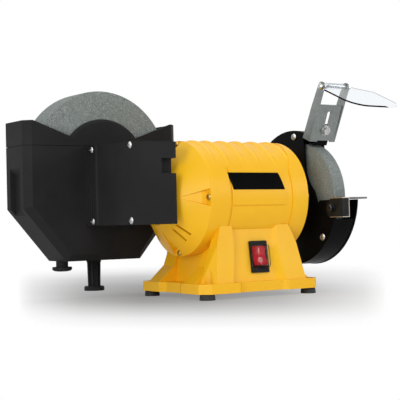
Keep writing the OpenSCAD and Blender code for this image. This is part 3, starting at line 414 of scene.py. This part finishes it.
# ---------------------------------------------------------------- floor, lights, world
def floor_material():
    """Pale paper with a soft grey pool of shade; beyond the pool the camera sees the white world.

    The floor is turned like the camera, so its X runs across the picture and its Y away from it.
    Dividing by the distance from the camera makes the pool fade evenly in the picture.
    """
    m = Mat("floor_white", Roughness=0.95, Specular_IOR_Level=0.0)
    spot = m.node("ShaderNodeSeparateXYZ", {"Vector": m.place()})
    away = m.math("MAXIMUM", m.math("ADD", spot.outputs["Y"], EYE_BACK), 0.3)
    across = m.math("DIVIDE", m.math("SUBTRACT", spot.outputs["X"], EYE_SIDE), away)
    down = m.math("DIVIDE", EYE.z, away)
    down = m.math("ADD", down, m.math("MULTIPLY", across, math.tan(ROLL)))
    half_wide, far_edge, near_edge = 0.182, 0.0317, 0.1046
    fade_from, fade_to = 0.55, 1.0
    sides = [(0.038, 0.0), (0.08, 0.28), (0.2, 0.76), (0.35, 1.0)]
    sides += [(0.5, 0.98), (0.7, 0.74), (0.9, 0.3), (0.965, 0.0)]
    depths = [(0.05, 0.0), (0.2, 0.25), (0.4, 0.88), (0.5, 1.0)]
    depths += [(0.6, 0.88), (0.8, 0.2), (0.95, 0.0)]
    wide = m.ramp(m.span(across, 0, 1, -half_wide, half_wide), *sides)
    deep = m.ramp(m.span(down, 0, 1, far_edge, near_edge), *depths)
    reach = m.node("ShaderNodeVectorMath", {0: m.place()}, operation="LENGTH").outputs["Value"]
    fade = m.span(reach, 1, 0, fade_from, fade_to)
    shade = m.math("MULTIPLY", m.math("MULTIPLY", wide, deep), fade)
    seen = m.node("ShaderNodeLightPath").outputs["Is Camera Ray"]
    paper = m.mix(m.noise(3, 2), (0.9, 0.9, 0.9, 1), (0.92, 0.92, 0.92, 1))
    m.set("Base Color", m.mix(seen, paper, (0.13, 0.13, 0.13, 1)))
    darkest, gamma, lit_share = 0.62, 2.2, 0.115
    glow = m.math("POWER", m.span(shade, 1.0, darkest), gamma)
    glow = m.math("SUBTRACT", glow, lit_share)
    light = m.node("ShaderNodeEmission", {"Strength": m.math("MULTIPLY", seen, glow)})
    both = m.node("ShaderNodeAddShader", {0: m.shader.outputs[0], 1: light.outputs[0]})
    outside = m.math("MULTIPLY", seen, m.span(shade, 1, 0, 0, 0.06))
    gone = m.node("ShaderNodeBsdfTransparent")
    faded = m.node("ShaderNodeMixShader", {0: outside, 1: both.outputs[0], 2: gone.outputs[0]})
    m.tree.links.new(faded.outputs[0], m.tree.nodes["Material Output"].inputs["Surface"])
    return m.mat


floor_mesh = bpy.data.meshes.new("floor")
floor_mesh.from_pydata([(-9, -9, 0), (9, -9, 0), (9, 9, 0), (-9, 9, 0)], [], [(0, 1, 2, 3)])
floor = bpy.data.objects.new("floor", floor_mesh)
floor.rotation_euler = (0, 0, YAW)
bpy.context.scene.collection.objects.link(floor)
floor_mesh.materials.append(floor_material())

world = bpy.data.worlds.new("studio")
bpy.context.scene.world = world
world.use_nodes = True
wt = world.node_tree
back = wt.nodes["Background"]
back.inputs["Color"].default_value = (1, 1, 1, 1)
path = wt.nodes.new("ShaderNodeLightPath")
white = path.outputs["Is Camera Ray"]
for ray in ("Is Glossy Ray", "Is Transmission Ray"):
    either = wt.nodes.new("ShaderNodeMath")
    either.operation = "MAXIMUM"
    wt.links.new(white, either.inputs[0])
    wt.links.new(path.outputs[ray], either.inputs[1])
    white = either.outputs[0]
level = wt.nodes.new("ShaderNodeMapRange")
level.inputs["To Min"].default_value = 0.42
level.inputs["To Max"].default_value = 1.0
wt.links.new(white, level.inputs["Value"])
wt.links.new(level.outputs["Result"], back.inputs["Strength"])


def softbox(name, where, aim, size, power):
    data = bpy.data.lights.new(name, "AREA")
    data.shape = "RECTANGLE"
    data.size, data.size_y = size
    data.energy = power
    lamp = bpy.data.objects.new(name, data)
    lamp.location = where
    lamp.rotation_euler = (Vector(aim) - Vector(where)).to_track_quat("-Z", "Y").to_euler()
    bpy.context.scene.collection.objects.link(lamp)


softbox("key", (-1.2, -1.7, 1.5), (-0.05, 0, 0.12), (1.0, 1.0), 13)
softbox("left", (-1.9, -0.95, 0.4), (-0.1, 0, 0.12), (0.6, 1.0), 14)
softbox("fill", (1.5, -1.8, 0.8), (0, 0, 0.12), (0.7, 0.8), 9)
softbox("top", (0.1, 0.3, 2.1), (0, 0, 0.1), (1.8, 1.4), 15)
